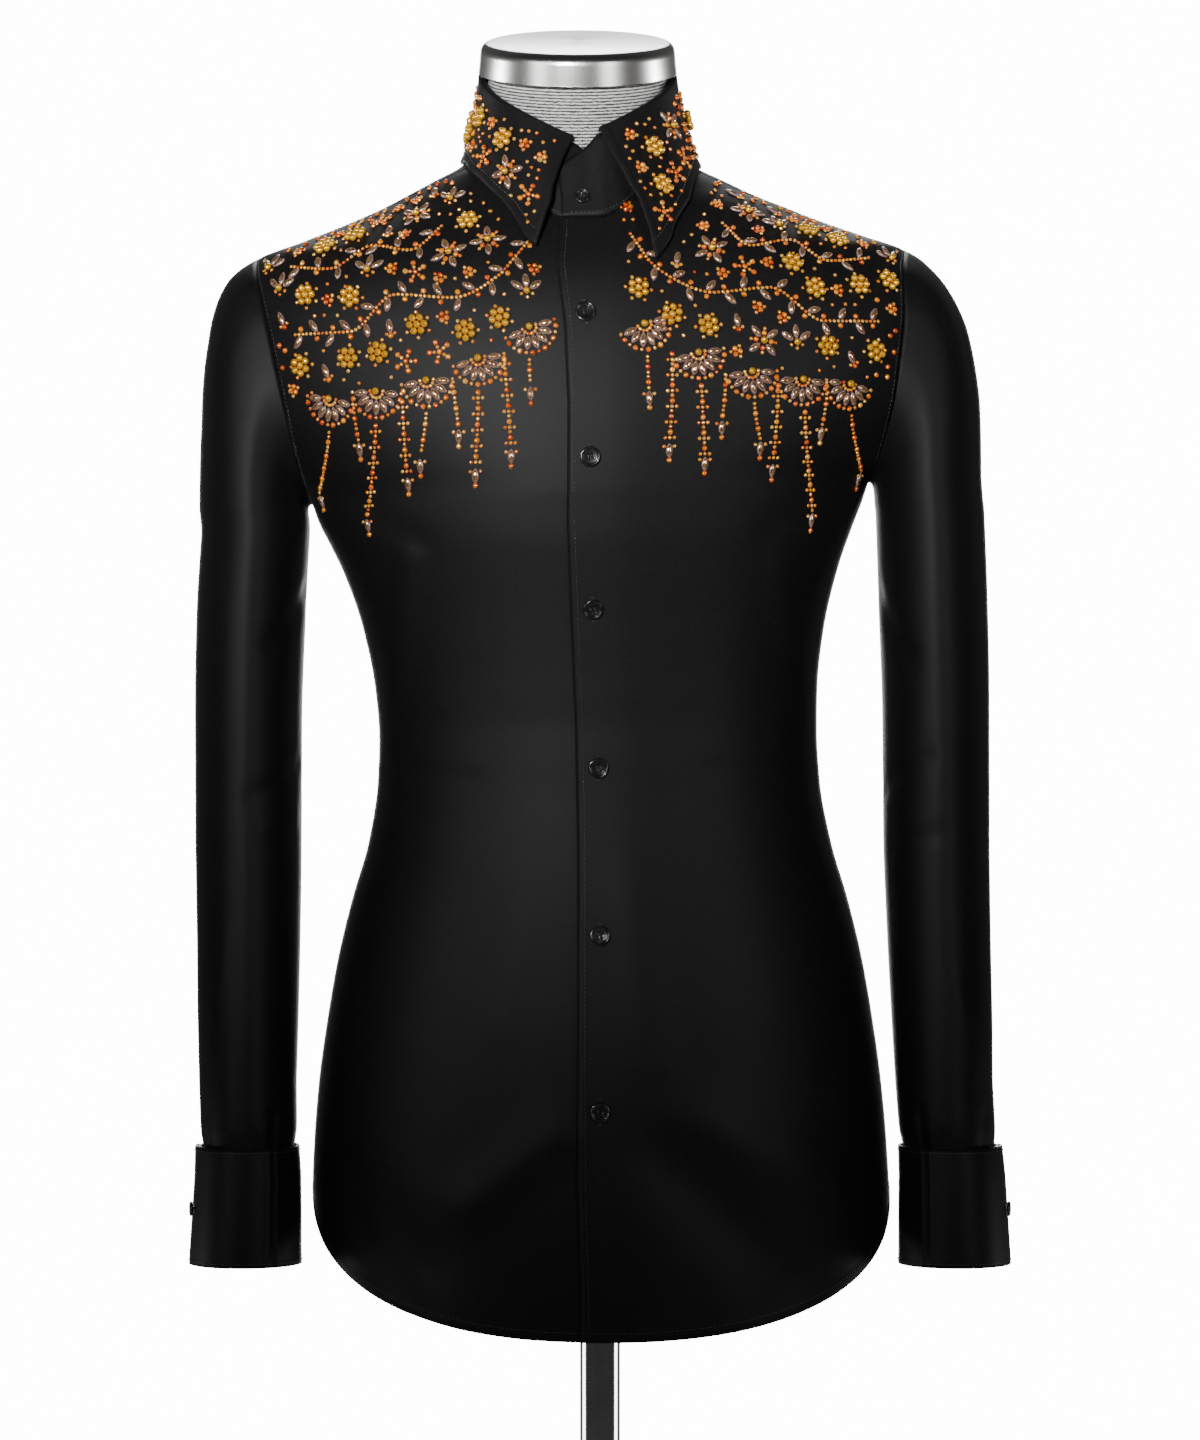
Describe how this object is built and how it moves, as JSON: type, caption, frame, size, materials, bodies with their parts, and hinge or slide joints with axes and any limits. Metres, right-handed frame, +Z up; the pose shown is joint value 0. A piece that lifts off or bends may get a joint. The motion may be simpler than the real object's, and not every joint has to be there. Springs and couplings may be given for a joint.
{
  "type": "dress shirt on a dress form",
  "caption": "Long-sleeved black dress shirt with a pointed collar, beaded shoulders and curved tails, buttoned up and worn by a limbless dress form on a round counter stand.",
  "frame": {"origin": "bottom centre of the whole part's box, on the floor under the stand's round base", "axes": "+Z up, -Y out of the shirt's front towards the viewer, +X to the wearer's left"},
  "size_m": [0.5276, 0.3, 1.1054],
  "materials": {
    "black_sateen": "fine black cotton sateen with a soft sheen",
    "black_resin": "glossy",
    "grey_jersey": "heathered light grey knit cover",
    "brushed_steel": "brushed round the axis",
    "chrome": "polished"
  },
  "bodies": {
    "root": {"front_right": "black_sateen", "front_left": "black_sateen", "back": "black_sateen", "yoke": "black_sateen", "sleeve_right": "black_sateen", "sleeve_left": "black_sateen", "sleeve_placket_right": "black_sateen", "sleeve_placket_left": "black_sateen", "cuff_right": "black_sateen", "cuff_left": "black_sateen", "collar_stand": "black_sateen", "collar_leaf": "black_sateen", "button_collar": "black_resin", "button_front_1": "black_resin", "button_front_2": "black_resin", "button_front_3": "black_resin", "button_front_4": "black_resin", "button_front_5": "black_resin", "button_front_6": "black_resin", "button_cuff_right": "black_resin", "button_cuff_left": "black_resin", "form_torso": "grey_jersey", "form_cap": "brushed_steel", "form_flange": "chrome", "stand_post": "chrome", "stand_base": "chrome"}
  },
  "joints": []
}
